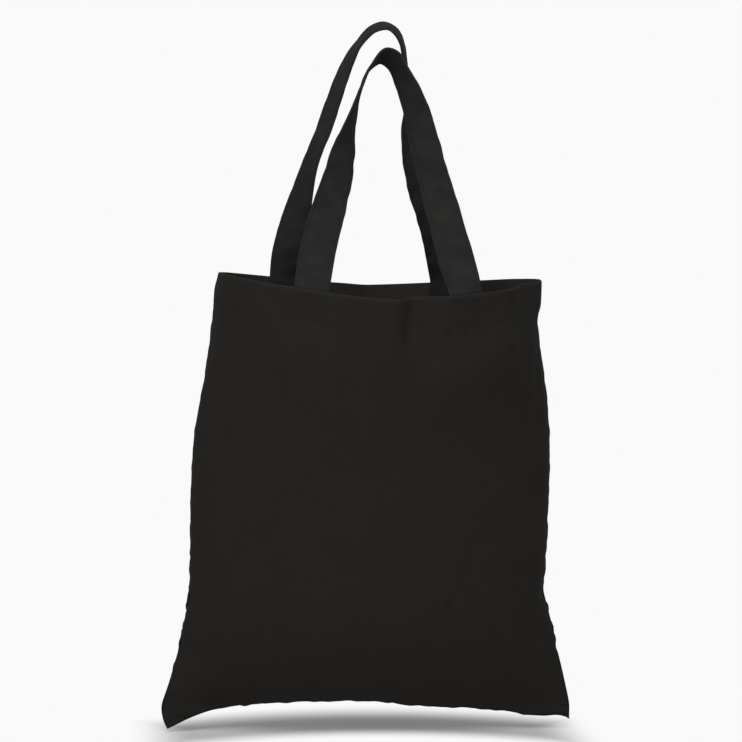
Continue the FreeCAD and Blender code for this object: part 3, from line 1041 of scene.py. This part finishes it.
def smoothLine(points, others, step):
    # A smooth line through the points, with the other rows carried along, at even steps.
    values = np.concatenate([points, others], axis=1)
    chord = np.linalg.norm(np.diff(points, axis=0), axis=1) ** 0.5
    knots = np.concatenate([[0], np.cumsum(chord)])
    slopes = np.gradient(values, knots, axis=0)
    t = np.linspace(0, knots[-1], 4000)
    i = np.clip(np.searchsorted(knots, t, "right") - 1, 0, len(knots) - 2)
    span = knots[i + 1] - knots[i]
    x = ((t - knots[i]) / span)[:, None]
    span = span[:, None]
    curve = ((2 * x ** 3 - 3 * x ** 2 + 1) * values[i] + (x ** 3 - 2 * x ** 2 + x) * span * slopes[i]
             + (-2 * x ** 3 + 3 * x ** 2) * values[i + 1] + (x ** 3 - x ** 2) * span * slopes[i + 1])
    run = runAlong(curve[:, :3])
    count = int(run[-1] / step) + 1
    even = np.linspace(0, run[-1], count)
    return valuesAt(even, run, curve), even


def strapProfile():
    # Round a strap's section, as (place across, height): crowned, grooved and with round edges.
    half = strap["width"] / 2
    flatPart = half - strap["edgeRound"]
    shares = [0.25, 0.45, 0.62, 0.73, 0.78, 0.83, 0.88, 0.93, 0.975, 1]
    acrossPlaces = [-share for share in shares[::-1]] + [0] + shares
    profile = []
    for sign in (1, -1):
        for share in acrossPlaces[::sign]:
            w = share * flatPart
            groove = bump(abs(w) - half + strap["stitchInset"], 0.0009)
            profile.append((w, sign * (strapHeight(w) - strap["grooveDepth"] * groove)))
        for angle in (60, 30, 0, -30, -60):
            x = flatPart + strap["edgeRound"] * math.cos(math.radians(angle))
            profile.append((sign * x, sign * strap["thickness"] / 2 * math.sin(math.radians(angle))))
    return profile


def strapHeight(w):
    crown = strap["crown"] * (1 - (2 * w / strap["width"]) ** 2)
    return strap["thickness"] / 2 * (1.0 + crown)


def makeHandle(face, name):
    points, widths = handleFrames(face)
    line, run = smoothLine(points, widths, strap["step"])
    kernel = np.ones(7) / 7
    for c in range(3, 6):
        line[:, c] = np.convolve(np.pad(line[:, c], 3, mode="edge"), kernel, mode="valid")
    middle = line[:, :3]
    along = unit(np.gradient(middle, axis=0))
    across = unit(line[:, 3:] - along * np.sum(line[:, 3:] * along, axis=1, keepdims=True))
    outward = np.cross(along, across) * face
    length = run[-1]
    half = strap["width"] / 2
    sewn = smoothStep(np.minimum(run, length - run) / strap["sewnFade"] - 0.85)
    # Where the strap turns its edge to the front it stays stiff.
    calm = 0.2 + 0.8 * outward[:, 1] ** 2
    turn = 2 * math.pi

    def lift(w):
        # Soft waves and creases, none of them where the strap is sewn down.
        value = strap["wave"] * wavy(turn * (run + 0.9 * w) / 0.052, 2.0 + face)
        value += strap["smallWave"] * wavy(turn * (run - 0.8 * w) / 0.033, 5.0 + face)
        value -= strap["cupping"] * (w / half) ** 2 * wavy(turn * run / 0.13, 1.0 + face)
        for place, slant, depth in strapCreases[face]:
            value += depth * bump(run - place * length - slant * w, strap["creaseWidth"])
        return value * sewn * calm

    rows = []
    uvs = []
    reach = 0.0
    profile = strapProfile()
    last = profile[0]
    for w, h in profile:
        reach += math.hypot(w - last[0], h - last[1])
        last = (w, h)
        rows.append(middle + across * w + outward * (h + lift(w))[:, None])
        uvs.append(np.stack([np.full(len(run), reach), run], -1))
    piece = ribbonPiece(name + "_strap", rows, uvs, face == back, strapCanvas)
    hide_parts(name, name + "_sewn_ends")
    lines = []
    keep = slice(3, -3)
    for side in (-1, 1):
        w = side * (half - strap["stitchInset"])
        height = strapHeight(w) - strap["grooveDepth"]
        for sign in (1, -1):
            places = middle + across * w + outward * (sign * height + lift(w))[:, None]
            lines.append((places[keep], outward[keep] * sign))
    stitches = stitchPiece(name + "_thread", lines, [name + "_stitching"], None)
    for part in (piece, stitches):
        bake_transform(part)
    print(name, "strap length", round(length, 3))
    return piece, stitches, length


frontStrap, frontStrapThread, frontLength = makeHandle(front, "front_handle")
backStrap, backStrapThread, backLength = makeHandle(back, "back_handle")
print("handles made")


# A white paper floor that runs into the background, with a painted shadow strip under the bag and soft
# lamps from the front.
studio = {
    "floorLevel": -0.6005,
    "paper": (0.9482, 0.952, 0.952, 1),  # the background's colour
    "floorColour": 0.95,  # painted shadow: the floor as the camera sees it, darker than what it throws back, shown only in the strip under the bag
    "shadowColour": 0.57,  # the same floor as it is seen in the shadow
    "worldLight": 0.40,
    "shadowMiddle": 0.030,  # along a bent line under the bag the camera sees this darker floor, a painted shadow; elsewhere it sees the paper colour
    "shadowBend": -1.15,
    "shadowShare": 0.95,
    "shadowWidth": (0.155, 0.215),
    "shadowFront": (0.018, 0.058),
    "shadowBack": (0.006, 0.070),
    # name, place, what it points at, size, power
    "lamps": [
        ("softbox", (-0.45, -1.15, 1.2), (0, -0.1, -0.45), 1.1, 20),
        ("front light", (-0.8, -2.3, 0.40), (0, 0, -0.3), 1.0, 16),
        ("right light", (1.0, -2.3, 0.0), (0, 0, -0.2), 1.0, 4),
    ],
}


def areaLight(name, place, target, size, power):
    data = bpy.data.lights.new(name, "AREA")
    data.shape = "DISK"
    data.size = size
    data.energy = power
    light = bpy.data.objects.new(name, data)
    scene.collection.objects.link(light)
    light.location = place
    light.rotation_euler = (Vector(target) - Vector(place)).to_track_quat("-Z", "Y").to_euler()


def cameraRays(tree):
    # 1 for what is seen straight, in a mirror or through glass.
    path = addNode(tree, "LightPath", {})
    seen = mathNode(tree, "MAXIMUM", path.outputs["Is Camera Ray"], path.outputs["Is Glossy Ray"])
    return mathNode(tree, "MAXIMUM", seen, path.outputs["Is Transmission Ray"])


def mixShaders(tree, share, first, second, output):
    inputs = {0: share, 1: first.outputs[0], 2: second.outputs[0]}
    setInputs(tree, output, {"Surface": addNode(tree, "MixShader", inputs).outputs[0]})


def fadeNode(tree, value, ends):
    inputs = {"Value": value, "From Min": ends[0], "From Max": ends[1]}
    return addNode(tree, "MapRange", inputs, interpolation_type="SMOOTHSTEP").outputs[0]


def makeStudio():
    bpy.ops.object.select_all(action="DESELECT")
    bpy.ops.mesh.primitive_plane_add(size=12, location=(0, 0, studio["floorLevel"]))
    floor = bpy.context.object
    floor.name = "floor"
    material = bpy.data.materials.new("paper floor")
    material.use_nodes = True
    tree = material.node_tree
    shader = tree.nodes["Principled BSDF"]

    def calc(*parts):
        return mathNode(tree, *parts)

    # Painted shadow: the camera sees the floor darker than the light it throws back on the bag, which
    # deepens the shadow in the strip under the bag.
    darker = studio["shadowColour"] - studio["floorColour"]
    value = calc("MULTIPLY_ADD", cameraRays(tree), darker, studio["floorColour"])
    setInputs(tree, shader, {"Base Color": value, "Roughness": 0.9, "Specular IOR Level": 0.1})
    glow = addNode(tree, "Emission", {"Color": studio["paper"]})
    place = addNode(tree, "NewGeometry", {}).outputs["Position"]
    split = addNode(tree, "SeparateXYZ", {0: place})
    aside = calc("ABSOLUTE", split.outputs[0])
    bend = calc("MULTIPLY_ADD", calc("POWER", aside, 2.0), studio["shadowBend"], studio["shadowMiddle"])
    away = calc("SUBTRACT", split.outputs[1], bend)
    clear = fadeNode(tree, aside, studio["shadowWidth"])
    clear = calc("MAXIMUM", clear, fadeNode(tree, away, studio["shadowBack"]))
    inFront = calc("MULTIPLY", away, -1.0)
    clear = calc("MAXIMUM", clear, fadeNode(tree, inFront, studio["shadowFront"]))
    clear = calc("MULTIPLY_ADD", clear, studio["shadowShare"], 1 - studio["shadowShare"])
    clear = calc("MULTIPLY", clear, cameraRays(tree))
    mixShaders(tree, clear, shader, glow, tree.nodes["Material Output"])
    floor.data.materials.append(material)
    floor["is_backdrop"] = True
    world = bpy.data.worlds.new("studio")
    scene.world = world
    world.use_nodes = True
    tree = world.node_tree
    sky = tree.nodes["Background"]
    setInputs(tree, sky, {"Strength": studio["worldLight"], "Color": (1, 1, 1, 1)})
    seen = addNode(tree, "Background", {"Color": studio["paper"]})
    mixShaders(tree, cameraRays(tree), sky, seen, tree.nodes["World Output"])
    for lamp in studio["lamps"]:
        areaLight(*lamp)


makeStudio()
print("studio made")

low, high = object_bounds()
